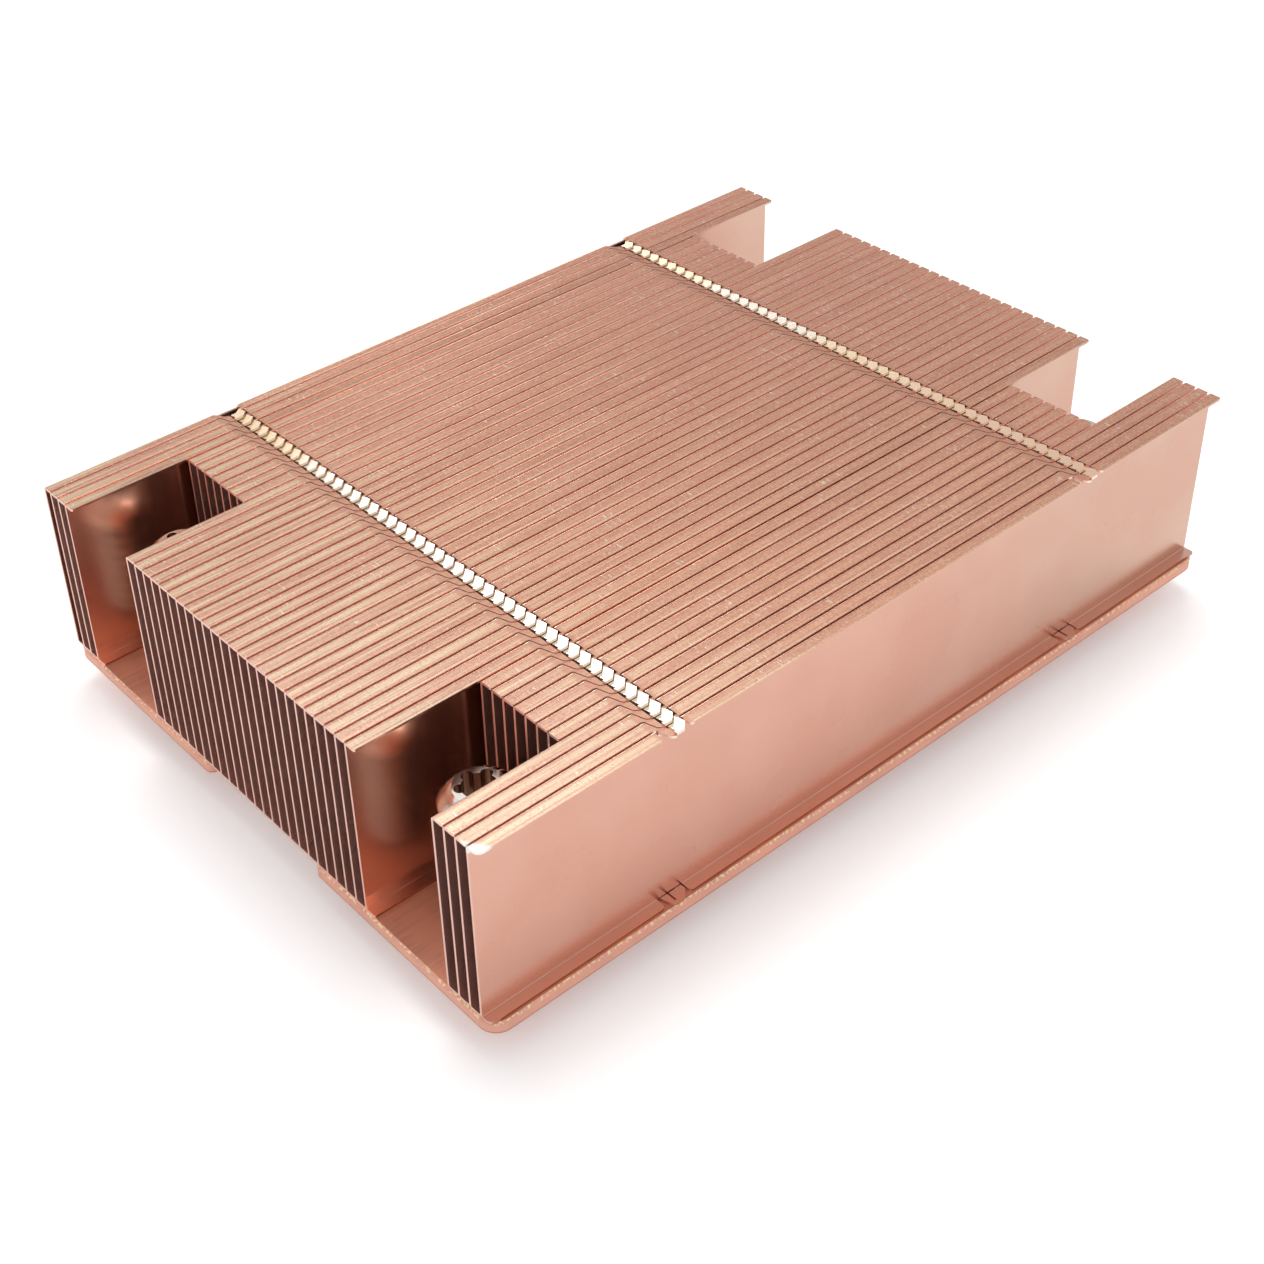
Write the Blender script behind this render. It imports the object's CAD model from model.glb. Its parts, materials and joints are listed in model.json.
import json
import math
import bpy
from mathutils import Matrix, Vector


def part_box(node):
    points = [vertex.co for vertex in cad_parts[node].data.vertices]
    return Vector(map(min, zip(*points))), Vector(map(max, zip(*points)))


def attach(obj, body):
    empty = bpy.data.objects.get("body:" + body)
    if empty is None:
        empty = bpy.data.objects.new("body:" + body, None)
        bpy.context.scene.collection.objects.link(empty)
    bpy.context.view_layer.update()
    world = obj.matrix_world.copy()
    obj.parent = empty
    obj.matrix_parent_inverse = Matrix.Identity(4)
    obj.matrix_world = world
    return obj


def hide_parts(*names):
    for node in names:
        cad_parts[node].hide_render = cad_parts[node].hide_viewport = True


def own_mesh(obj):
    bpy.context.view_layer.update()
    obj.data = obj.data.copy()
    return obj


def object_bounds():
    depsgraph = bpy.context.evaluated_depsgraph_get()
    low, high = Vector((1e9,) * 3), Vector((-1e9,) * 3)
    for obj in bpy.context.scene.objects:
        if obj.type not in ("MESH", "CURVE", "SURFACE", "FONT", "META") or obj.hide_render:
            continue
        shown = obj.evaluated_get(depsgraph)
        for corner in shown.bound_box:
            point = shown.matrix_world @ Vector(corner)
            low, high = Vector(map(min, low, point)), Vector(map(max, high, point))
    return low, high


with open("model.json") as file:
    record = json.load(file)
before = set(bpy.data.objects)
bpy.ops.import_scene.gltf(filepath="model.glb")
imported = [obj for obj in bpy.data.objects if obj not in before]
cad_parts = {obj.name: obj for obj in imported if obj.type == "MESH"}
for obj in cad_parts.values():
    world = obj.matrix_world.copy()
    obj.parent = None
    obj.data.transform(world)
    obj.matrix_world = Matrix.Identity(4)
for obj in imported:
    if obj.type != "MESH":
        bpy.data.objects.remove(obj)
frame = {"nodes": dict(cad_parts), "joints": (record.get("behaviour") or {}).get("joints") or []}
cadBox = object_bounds()
nodes = frame["nodes"]
print("stage: frame loaded,", len(nodes), "nodes")


class Signal:
    # a socket that takes part in Python sums; each sum adds its Math node
    def __init__(self, finish, socket):
        self.finish = finish
        self.socket = socket

    def sum(self, operation, *others):
        values = {index: value for index, value in enumerate((self, *others))}
        return self.finish.node("ShaderNodeMath", {"operation": operation}, values)

    def swapped(self, operation, other):
        return self.finish.node("ShaderNodeMath", {"operation": operation}, {0: other, 1: self})

    def __add__(self, other):
        return self.sum("ADD", other)

    def __sub__(self, other):
        return self.sum("SUBTRACT", other)

    def __mul__(self, other):
        return self.sum("MULTIPLY", other)

    def __truediv__(self, other):
        return self.sum("DIVIDE", other)

    def __rsub__(self, other):
        return self.swapped("SUBTRACT", other)

    def __pow__(self, other):
        return self.sum("POWER", other)

    def __mod__(self, other):
        return self.sum("FLOORED_MODULO", other)

    def __neg__(self):
        return self * -1

    __radd__ = __add__
    __rmul__ = __mul__


class Finish:
    # a node tree, and short ways to add to it
    def __init__(self, owner, shader, coordinates):
        owner.use_nodes = True
        self.owner = owner
        self.tree = owner.node_tree
        self.shader = self.tree.nodes[shader]
        self.place = self.node("ShaderNodeTexCoord", {}, {}, coordinates)

    def node(self, kind, settings, inputs, output=0):
        made = self.tree.nodes.new(kind)
        for key, value in settings.items():
            setattr(made, key, value)
        for key, value in inputs.items():
            if isinstance(value, Signal):
                self.tree.links.new(value.socket, made.inputs[key])
            else:
                made.inputs[key].default_value = value
        return Signal(self, made.outputs[output])

    def axis(self, name):
        return self.node("ShaderNodeSeparateXYZ", {}, {0: self.place}, name)

    def facing(self, name):
        normal = self.node("ShaderNodeNewGeometry", {}, {}, "True Normal")
        return self.node("ShaderNodeSeparateXYZ", {}, {0: normal}, name)

    def noise(self, scale, detail=2, rough=0.5):
        # one scale for all three axes, or one for each
        vector, size = self.place, scale
        if isinstance(scale, tuple):
            vector, size = self.node("ShaderNodeMapping", {}, {0: self.place, "Scale": scale}), 1
        inputs = {"Vector": vector, "Scale": size, "Detail": detail, "Roughness": rough}
        return self.node("ShaderNodeTexNoise", {}, inputs, "Fac")

    def rise(self, value, low, high):
        # 0 below low, 1 above high, with a smooth way between
        inputs = {"Value": value, "From Min": low, "From Max": high}
        return self.node("ShaderNodeMapRange", {"interpolation_type": "SMOOTHSTEP"}, inputs)

    def band(self, value, low, high, soft):
        # 1 between low and high, 0 outside
        leaving = self.rise(value, high - soft, high + soft)
        return self.rise(value, low - soft, low + soft) * (1 - leaving)

    def levels(self, value, stops):
        # straight lines from stop to stop
        total = stops[0][1]
        for (start, low), (end, high) in zip(stops, stops[1:]):
            inputs = {"Value": value, "From Min": start, "From Max": end, "To Max": high - low}
            total = self.node("ShaderNodeMapRange", {}, inputs) + total
        return total

    def mix(self, factor, first, second):
        # the sockets of a colour mix: 0 its factor, 6 and 7 its colours, 2 its result
        inputs = {0: factor, 6: first, 7: second}
        return self.node("ShaderNodeMix", {"data_type": "RGBA"}, inputs, 2)

    def feed(self, **inputs):
        for name, value in inputs.items():
            socket = self.shader.inputs[name.replace("_", " ")]
            if isinstance(value, Signal):
                self.tree.links.new(value.socket, socket)
            else:
                socket.default_value = value

    def bump(self, height, distance, strength=1.0):
        inputs = {"Height": height, "Distance": distance, "Strength": strength}
        self.feed(Normal=self.node("ShaderNodeBump", {}, inputs))


def newFinish(name):
    return Finish(bpy.data.materials.new(name), "Principled BSDF", "Object")


def dress(start, finish):
    for name in nodes:
        if name.startswith(start):
            slots = nodes[name].data.materials
            slots.clear()
            slots.append(finish.owner)


def rgb(red, green, blue):
    return (red, green, blue, 1)


copper = {
    "light": rgb(0.88, 0.435, 0.29),
    "deep": rgb(0.70, 0.33, 0.23),
    "red": rgb(0.52, 0.23, 0.15),
    "dark": rgb(0.48, 0.19, 0.10),
    "cream": rgb(1.0, 0.76, 0.50),
    "pale": rgb(1.0, 0.88, 0.74),
    "pink": rgb(0.95, 0.60, 0.49),
    "rose": rgb(0.98, 0.69, 0.62),
    "plain": rgb(0.835, 0.485, 0.375),
    "clean": rgb(1.0, 0.56, 0.42),
    "dull": rgb(0.72, 0.44, 0.36),
    "beige": rgb(0.76, 0.50, 0.39),
    "burnished": rgb(1, 0.95, 0.88),
}

firstFin, secondFin, thirdFin, lastFin = (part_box(f"fin_{order:02d}") for order in (1, 2, 3, 47))
finLow, finHigh = lastFin[0][2], lastFin[1][2]
fins = {
    "start": secondFin[0][0],
    "pitch": thirdFin[0][0] - secondFin[0][0],
    "flange": 0.00168,
    "end": lastFin[1][1],
    "lastEdge": lastFin[1][0],
    # the two rows of tabs: how far in from the ends, how long, how soft at their limits, and
    # where the front half passes into the back half
    "rowInset": 0.0230,
    "rowLength": 0.0035,
    "rowSoft": 0.0002,
    "halves": (-0.001, 0.001),
    # the fins whose bare webs face the two cut-outs, counted from the second fin
    "besideCutOut": (2, 34),
    "topRoughness": 0.23,
    "webRoughness": 0.27,
    "endRoughness": 0.12,
    "bumpDepth": 0.00006,
    # how fine each pattern is: across, along and up the fin, or the same all ways
    "streakScale": (3600, 45, 900),
    "bandScale": (1500, 60, 900),
    "unevenScale": (610, 32, 610),
    "tickScale": (900, 3600, 900),
    "patchScale": 60,
    "gritScale": 4200,
    "fleckScale": 170,
    # heights at which the upper fold, the lower flange and its edge begin and end
    "upperFold": (finHigh - 0.0010, finHigh - 0.0006),
    "lowerFlange": (finLow + 0.0005, finLow + 0.0022),
    "footEdge": (finLow + 0.00024, finLow + 0.00030),
    # from the first web to the last, and how soft that limit is
    "betweenWebs": (firstFin[0][0] + 0.0006, lastFin[0][0] + 0.00018, 0.00006),
    # distances along and across the whole stack over which the copper changes
    "farBack": (-0.010, 0.040),
    "wornCorner": (0.035, 0.090),
    "cleanWeb": (0.0, 0.01),
    "rubbedFront": (0.008, 0.046),
    "paleFront": (0.020, 0.056),
    # places across one pitch
    "middle": (0.00040, 0.00140, 0.00030),
    "seamLine": (0.00038, 0.00022),
    "seamLeft": (0.00080, 0.00020),
    "seamRight": (0.00110, 0.00150),
    "nextEdge": (0.00026, 0.00004),
    # fin numbers: where the tongues of each row turn white, and where the back row reddens
    "whiteFront": (6.5, 9.5),
    "whiteBack": (9, 21, 2),
    "redBack": (24, 44),
    # the burnished front corner: the slope of its edge, and where it begins and ends
    "cornerSlope": 1.4,
    "corner": (0.0030, 0.0016),
}


def makeFinCopper():
    sheet = newFinish("finCopper")
    x, y, z = (sheet.axis(name) for name in "XYZ")
    pitch = fins["pitch"]
    upper = sheet.rise(z, *fins["upperFold"])
    onTop = sheet.rise(sheet.facing("Z"), 0.75, 0.95) * upper
    onEnd = sheet.rise(sheet.facing("Y").sum("ABSOLUTE"), 0.6, 0.8)
    across = (x - fins["start"]) % pitch
    order = ((x - fins["start"]) / pitch).sum("FLOOR")
    oneValue = {"noise_dimensions": "1D"}
    perFin = sheet.node("ShaderNodeTexWhiteNoise", oneValue, {"W": order}, "Value")

    # rolling streaks along the fin, soft patches of tarnish, fine grain, and ticks across the fin
    streaks = sheet.noise(fins["streakScale"], 3)
    bands = sheet.noise(fins["bandScale"], 2)
    uneven = sheet.rise(sheet.noise(fins["unevenScale"], 1), 0.36, 0.64)
    patches = sheet.noise(fins["patchScale"], 3)
    ticks = sheet.noise(fins["tickScale"], 2)
    grit = sheet.noise(fins["gritScale"], 3, 0.7)

    # the copper turns beige towards the back end, and wears towards the last fin's front corner
    farBack = sheet.rise(y, *fins["farBack"])
    worn = sheet.rise(x - y, *fins["wornCorner"])
    satin = sheet.mix(farBack, copper["plain"], copper["beige"])
    satin = sheet.mix(onTop, satin, copper["light"])
    satin = sheet.mix(sheet.rise(patches, 0.35, 0.65) * 0.35, satin, copper["deep"])
    bare = sum(order.sum("COMPARE", place, 0.5) for place in fins["besideCutOut"])
    between = sheet.band(x, *fins["betweenWebs"])
    hidden = between * (1 - onTop)
    satin = sheet.mix(hidden * (1 - bare), satin, copper["rose"])
    satin = sheet.mix(hidden * bare * sheet.rise(-y, *fins["cleanWeb"]), satin, copper["clean"])
    rolled = sheet.rise(streaks * 0.45 + bands * 0.4 + perFin * 0.08 + grit * 0.2, 0.46, 0.66)
    tone = sheet.mix(rolled * onTop * (0.85 - worn * 0.35), satin, copper["deep"])

    # the flanges are paler along their middles and at the front end, where hands rub them
    rubbed = 0.06 + sheet.rise(-y, *fins["rubbedFront"]) * 0.82
    pale = sheet.rise(bands * 0.5 + streaks * 0.25 + grit * 0.25, 0.56, 0.44)
    middle = sheet.band(across, *fins["middle"])
    tone = sheet.mix(pale * middle * rubbed * onTop, tone, copper["cream"])

    # towards the seams the flanges redden, and a dark line and a bright edge mark each seam
    seamSide = sheet.rise(across, *fins["seamLeft"]) + sheet.rise(across, *fins["seamRight"])
    tone = sheet.mix(seamSide * onTop * 0.35, tone, copper["red"])
    edgeWidth, edgeSoft = fins["nextEdge"]
    nextEdge = sheet.band(across, fins["flange"] - edgeWidth, fins["flange"], edgeSoft)
    edgeShine = (0.20 + uneven * 0.55) * (1 - farBack * 0.6)
    tone = sheet.mix(nextEdge * onTop * edgeShine, tone, copper["cream"])
    seamLine = sheet.rise(across, *fins["seamLine"]) * upper * (1 - onEnd)
    seamDepth = (0.60 - uneven * 0.45) * (1 - farBack * 0.75) * (1 - worn * 0.45)
    tone = sheet.mix(seamLine * seamDepth, tone, copper["dark"])
    paleness = worn * 0.16 + sheet.rise(-y, *fins["paleFront"]) * 0.09
    tone = sheet.mix(paleness * onTop, tone, copper["pale"])
    tone = sheet.mix(sheet.rise(grit, 0.50, 0.64) * onTop * 0.40, tone, copper["cream"])
    tone = sheet.mix(sheet.rise(grit, 0.50, 0.34) * onTop * 0.40, tone, copper["red"])
    fleckPlaces = sheet.rise(sheet.noise(fins["fleckScale"], 1), 0.52, 0.62)
    flecks = sheet.rise(ticks, 0.62, 0.68) * fleckPlaces * onTop
    tone = sheet.mix(flecks * 0.8, tone, copper["pale"])

    # the tabs: smooth flat parts, and tongues that catch the light, whitest where they are highest
    rowPlace = fins["end"] - y.sum("ABSOLUTE") - fins["rowInset"]
    margin = fins["rowSoft"] * 2
    inRow = sheet.band(rowPlace, -margin, fins["rowLength"] + margin, fins["rowSoft"]) * upper
    tone = sheet.mix(inRow * onTop * 0.6, tone, copper["deep"])
    tongue = sheet.rise(-sheet.facing("X"), 0.10, 0.14) * inRow * onTop
    backRow = sheet.rise(y, *fins["halves"])
    whiteFront = sheet.rise(order, *fins["whiteFront"]) * (1 - backRow)
    white = whiteFront + sheet.band(order, *fins["whiteBack"]) * backRow
    reddened = sheet.rise(order + perFin * 6, *fins["redBack"]) * backRow
    lit = sheet.mix(reddened * 0.55, copper["cream"], copper["plain"])
    tone = sheet.mix(tongue, tone, sheet.mix(white, lit, copper["pale"]))
    cutEdge = inRow * (1 - sheet.rise(sheet.facing("Z"), 0.2, 0.4))
    tone = sheet.mix(cutEdge * 0.9, tone, copper["pale"])
    tone = sheet.mix(onEnd * 0.8, tone, copper["pink"])

    # the lower flanges are duller, and solder and dirt darken their edges
    lowFlange = 1 - sheet.rise(z, *fins["lowerFlange"])
    tone = sheet.mix(lowFlange * (1 - between) * 0.7, tone, copper["dull"])
    onFoot = sheet.rise(sheet.facing("X"), 0.7, 0.9) * (1 - sheet.rise(z, *fins["footEdge"]))
    tone = sheet.mix(onFoot * 0.85, tone, copper["dark"])

    # the front corner of the last flange is burnished bright
    slope = fins["cornerSlope"]
    tip = fins["lastEdge"] + fins["end"] * slope
    corner = sheet.rise(x - y * slope, *(tip - reach for reach in fins["corner"]))
    tone = sheet.mix(corner * upper, tone, copper["burnished"])

    roughness = fins["webRoughness"] + (fins["topRoughness"] - fins["webRoughness"]) * onTop
    roughness = roughness + (streaks - 0.5) * 0.14 * onTop + (patches - 0.5) * 0.06 - bare * 0.03
    roughness = roughness + onEnd * fins["endRoughness"]
    sheet.feed(Base_Color=tone, Metallic=1 - hidden * (1 - bare) * 0.04, Roughness=roughness)
    crown = (across / pitch - 0.5) ** 2 * onTop
    height = (streaks * 0.25 + bands * 0.3 + grit * 0.16 - crown * 0.5) * onTop
    sheet.bump(height + patches * 0.1, fins["bumpDepth"], 0.5)
    return sheet


plate = {
    "top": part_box("base_plate")[1][2],
    "roughness": 0.58,
    "metallic": 0.88,
    "burr": 0.00034,
    # heights over which the dark foot of the sides fades out
    "foot": (0.00010, 0.00022),
    "grainScale": (2400, 90, 2400),
    "patchScale": 120,
    "speckScale": 2400,
    "bumpDepth": 0.00004,
}


def makePlateCopper():
    slab = newFinish("plateCopper")
    z = slab.axis("Z")
    onSide = 1 - slab.rise(slab.facing("Z").sum("ABSOLUTE"), 0.5, 0.7)
    grain = slab.noise(plate["grainScale"], 4)
    patches = slab.noise(plate["patchScale"], 3)
    specks = slab.noise(plate["speckScale"], 2)
    worn = slab.rise(grain * 0.4 + patches * 0.6, 0.36, 0.64)
    tone = slab.mix(worn, copper["deep"], copper["light"])
    tone = slab.mix(onSide * 0.5, tone, copper["pink"])
    onSlope = slab.band(slab.facing("Z"), 0.6, 0.8, 0.05)
    tone = slab.mix(onSlope * 0.4, tone, copper["pink"])
    # a bright burr along the upper edge, and a darker foot
    burr = slab.rise(z, plate["top"] - plate["burr"], plate["top"] - plate["burr"] * 0.6)
    burr = burr * (onSide + onSlope).sum("MINIMUM", 1)
    tone = slab.mix(burr * slab.rise(specks, 0.50, 0.60), tone, copper["cream"])
    foot = 1 - slab.rise(z, *plate["foot"])
    tone = slab.mix(foot * onSide * 0.7, tone, copper["red"])
    roughness = plate["roughness"] + grain * 0.12
    slab.feed(Base_Color=tone, Metallic=plate["metallic"], Roughness=roughness)
    slab.bump(grain * 0.3 + specks * (0.15 + burr), plate["bumpDepth"], 0.5)
    return slab


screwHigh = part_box("screw_front_left")[1][2]
steels = {
    "screw_": {
        "colour": rgb(0.60, 0.49, 0.42),
        "dull": rgb(0.42, 0.32, 0.27),
        "roughness": 0.04,
        "bright": rgb(0.86, 0.80, 0.74),
        "rim": (screwHigh - 0.0012, screwHigh - 0.0005),
        # the screws' places, mirrored into all four corners, and the size of their sockets
        "at": (0.028, 0.047),
        "socket": (0.0025, 0.0027),
        "socketHeight": (0.010, 0.012),
        "socketColour": rgb(0.30, 0.20, 0.15),
        "threadPitch": 0.0007,
        "threadTop": (-0.0013, -0.0012),
        "easedEdge": 0.00012,
        "easedAngle": math.radians(40),
    },
    "spring_": {
        "colour": rgb(0.58, 0.52, 0.48),
        "dull": rgb(0.40, 0.35, 0.32),
        "roughness": 0.18,
    },
    "retaining_ring_": {
        "colour": rgb(0.52, 0.51, 0.50),
        "dull": rgb(0.34, 0.33, 0.33),
        "roughness": 0.28,
    },
}
steelPattern = {"turnedScale": (900, 900, 9000), "wearScale": 700, "bumpDepth": 0.0003}


def makeSteel(start):
    kind = steels[start]
    steel = newFinish(start + "steel")
    turned = steel.noise(steelPattern["turnedScale"], 3)
    wear = steel.noise(steelPattern["wearScale"], 3)
    tone = steel.mix(steel.rise(wear, 0.38, 0.72) * 0.6, kind["colour"], kind["dull"])
    height = turned * 0.03
    if start == "screw_":
        z = steel.axis("Z")
        rim = steel.rise(steel.facing("Z"), 0.76, 0.94) * steel.rise(z, *kind["rim"])
        tone = steel.mix(rim, tone, kind["bright"])
        # the socket's inside is darker
        sides = [steel.axis(name).sum("ABSOLUTE") - at for name, at in zip("XY", kind["at"])]
        fromAxis = (sides[0] ** 2 + sides[1] ** 2) ** 0.5
        inside = (1 - steel.rise(fromAxis, *kind["socket"])) * (1 - rim)
        inside = inside * steel.rise(z, *kind["socketHeight"])
        tone = steel.mix(inside, tone, kind["socketColour"])
        onThread = 1 - steel.rise(z, *kind["threadTop"])
        crest = (z / kind["threadPitch"]).sum("PINGPONG", 0.5)
        height = height + crest * 2 * onThread
    roughness = kind["roughness"] + turned * 0.10 + wear * 0.06
    steel.feed(Base_Color=tone, Metallic=1.0, Roughness=roughness)
    steel.bump(height, steelPattern["bumpDepth"], 0.6)
    return steel


dress("fin_", makeFinCopper())
dress("base_plate", makePlateCopper())
for start in steels:
    dress(start, makeSteel(start))
for name in nodes:
    if name.startswith("screw_"):
        easing = nodes[name].modifiers.new("easedEdges", "BEVEL")
        easing.width = steels["screw_"]["easedEdge"]
        easing.segments = 2
        easing.limit_method = "ANGLE"
        easing.angle_limit = steels["screw_"]["easedAngle"]
print("stage: finishes")

coils = {
    "places": ("front_left", "front_right", "back_left", "back_right"),
    "mergeWithin": 1e-6,
    "smoothBelow": math.radians(40),
}


def makeCoil(place):
    # stands for the spring's solid, and shortens under the head as the screw is pressed down
    solid = "spring_" + place
    coil = bpy.data.objects.new("coil_" + place, nodes[solid].data.copy())
    bpy.context.collection.objects.link(coil)
    bpy.ops.object.select_all(action="DESELECT")
    coil.select_set(True)
    bpy.context.view_layer.objects.active = coil
    bpy.ops.mesh.customdata_custom_splitnormals_clear()
    bpy.ops.object.mode_set(mode="EDIT")
    bpy.ops.mesh.select_all(action="SELECT")
    bpy.ops.mesh.remove_doubles(threshold=coils["mergeWithin"])
    bpy.ops.object.mode_set(mode="OBJECT")
    bpy.ops.object.shade_smooth_by_angle(angle=coils["smoothBelow"])
    low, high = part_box(solid)
    press = next(joint for joint in frame["joints"] if joint["name"] == "press_" + place)
    keep = 1 + min(press["range_m"]) / (high[2] - low[2])
    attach(coil, "carrier_" + place)
    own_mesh(coil)
    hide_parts(solid)


for place in coils["places"]:
    makeCoil(place)
print("stage: springs")

studio = {
    "floorSize": 6.0,
    "floorHeight": cadBox[0][2],
    "floorColour": rgb(0.97, 0.97, 0.97),
    "floorRoughness": 0.9,
    # the paper's own glow for the camera alone, so that it reads as white
    "floorGlow": rgb(0.22, 0.22, 0.22),
    # brightness of the sky against the sine of the height above the horizon
    "sky": [(0.0, 1.0), (0.30, 0.82), (0.42, 0.56), (0.50, 0.54), (0.545, 0.60), (0.60, 0.80),
            (0.68, 1.04), (0.78, 0.85), (0.90, 0.7)],
    "tint": (0.985, 0.99, 1.0),
    # a bright window, low on the far left
    "windowAt": (math.radians(148), math.radians(15)),
    "windowEdge": (math.cos(math.radians(6.0)), math.cos(math.radians(3.0))),
    "windowLevel": 4.5,
    # how far away both lamps stand
    "lampsFar": 1.6,
    # a large soft lamp for the shadow, high over the far left
    "softboxAt": (math.radians(150), math.radians(76)),
    "softboxSize": 0.65,
    "softboxPower": 8.0,
    # a smaller one for the gloss alone
    "glossBoxAt": (math.radians(150), math.radians(65)),
    "glossBoxSize": 0.42,
    "glossBoxPower": 6.0,
    "lens": 56.37,
    "lensShift": (0.0646, -0.0970),
    "nearestSeen": 0.01,
    "cameraPlace": (0.1463, -0.1307, 0.1512),
    "cameraTurn": (55.242, 2.249, 49.890),
}


def direction(turn, lift):
    return (math.cos(lift) * math.cos(turn), math.cos(lift) * math.sin(turn), math.sin(lift))


def makeFloor():
    bpy.ops.object.select_all(action="DESELECT")
    centre = (0, 0, studio["floorHeight"])
    bpy.ops.mesh.primitive_plane_add(size=studio["floorSize"], location=centre)
    floor = bpy.context.object
    floor.name = "floor"
    paper = newFinish("floorPaper")
    seen = paper.node("ShaderNodeLightPath", {}, {}, "Is Camera Ray")
    paper.feed(Base_Color=studio["floorColour"], Roughness=studio["floorRoughness"])
    paper.feed(Specular_IOR_Level=0, Emission_Strength=1)
    paper.feed(Emission_Color=paper.mix(seen, rgb(0, 0, 0), studio["floorGlow"]))
    floor.data.materials.append(paper.owner)


def makeSky():
    world = bpy.data.worlds.new("studioSky")
    bpy.context.scene.world = world
    sky = Finish(world, "Background", "Generated")
    level = sky.levels(sky.axis("Z"), studio["sky"])
    towards = direction(*studio["windowAt"])
    arrows = {0: sky.place, 1: towards}
    near = sky.node("ShaderNodeVectorMath", {"operation": "DOT_PRODUCT"}, arrows, "Value")
    level = level + sky.rise(near, *studio["windowEdge"]) * studio["windowLevel"]
    tinted = {name: level * share for name, share in zip(("Red", "Green", "Blue"), studio["tint"])}
    colour = sky.node("ShaderNodeCombineColor", {}, tinted)
    seen = sky.node("ShaderNodeLightPath", {}, {}, "Is Camera Ray")
    sky.feed(Color=sky.mix(seen, colour, rgb(1, 1, 1)))  # the camera sees plain white


def addSoftbox(name, forGloss):
    light = bpy.data.lights.new(name, "AREA")
    light.size = studio[name + "Size"]
    light.energy = studio[name + "Power"]
    lamp = bpy.data.objects.new(name, light)
    lamp.location = [studio["lampsFar"] * part for part in direction(*studio[name + "At"])]
    lamp.rotation_euler = lamp.location.to_track_quat("Z", "Y").to_euler()
    lamp.visible_glossy = forGloss
    lamp.visible_diffuse = not forGloss
    bpy.context.collection.objects.link(lamp)


def addCamera():
    camera = bpy.data.cameras.new("camera")
    camera.lens = studio["lens"]
    camera.shift_x, camera.shift_y = studio["lensShift"]
    camera.clip_start = studio["nearestSeen"]
    holder = bpy.data.objects.new("camera", camera)
    holder.location = studio["cameraPlace"]
    holder.rotation_euler = [math.radians(angle) for angle in studio["cameraTurn"]]
    bpy.context.collection.objects.link(holder)
    bpy.context.scene.camera = holder


makeFloor()
makeSky()
addSoftbox("softbox", False)
addSoftbox("glossBox", True)
addCamera()
bpy.context.scene.view_settings.view_transform = "Standard"
print("stage: studio")
